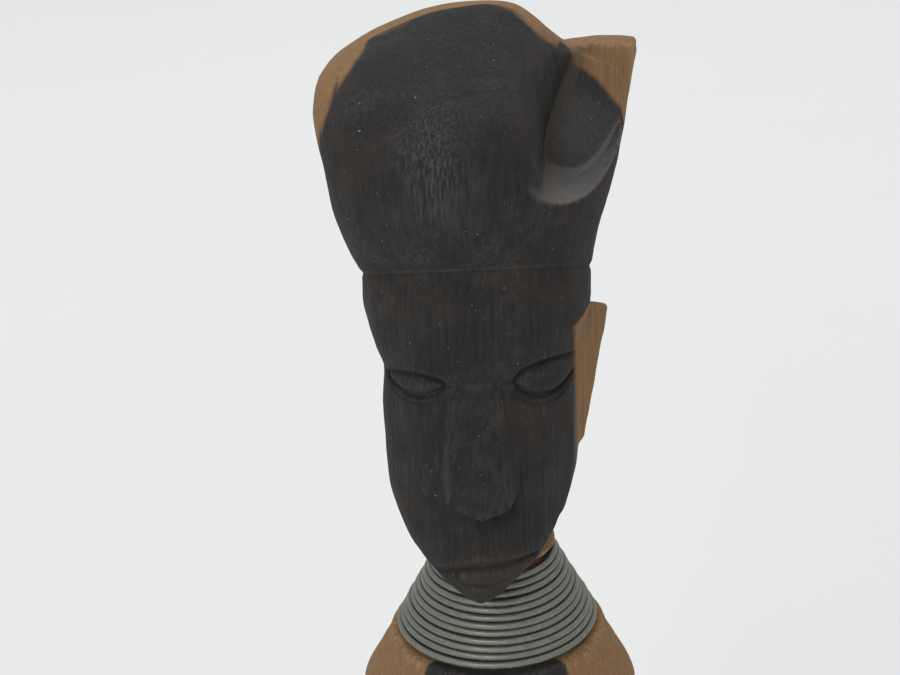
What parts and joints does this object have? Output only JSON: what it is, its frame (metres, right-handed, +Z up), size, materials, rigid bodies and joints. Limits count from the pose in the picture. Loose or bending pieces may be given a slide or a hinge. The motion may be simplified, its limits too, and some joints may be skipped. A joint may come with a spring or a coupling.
{
  "type": "carved wooden fertility doll",
  "caption": "Tall carved wooden figure with swept-up hair, standing on a round foot plate, with a cone of close-wound wire turning round its neck.",
  "frame": {"origin": "centre of the foot plate's underside, on the surface the figure stands on", "axes": "+Z up along the figure, which faces -Y, with its hair wing towards +X"},
  "size_m": [0.06, 0.06, 0.3125],
  "materials": {
    "carved_wood": "hand-carved and rubbed smooth, near-black heartwood with orange-tan sapwood",
    "galvanised_wire": "dull grey weathered zinc"
  },
  "bodies": {
    "figure": {"carved_figure": "carved_wood"},
    "coil": {"neck_coil": "galvanised_wire"}
  },
  "joints": [
    {"name": "neck_coil_turn", "type": "hinge", "parent": "figure", "child": "coil", "pos_m": [0, 0, 0.216], "axis": [0, -0.0698, 0.9976], "continuous": true}
  ]
}
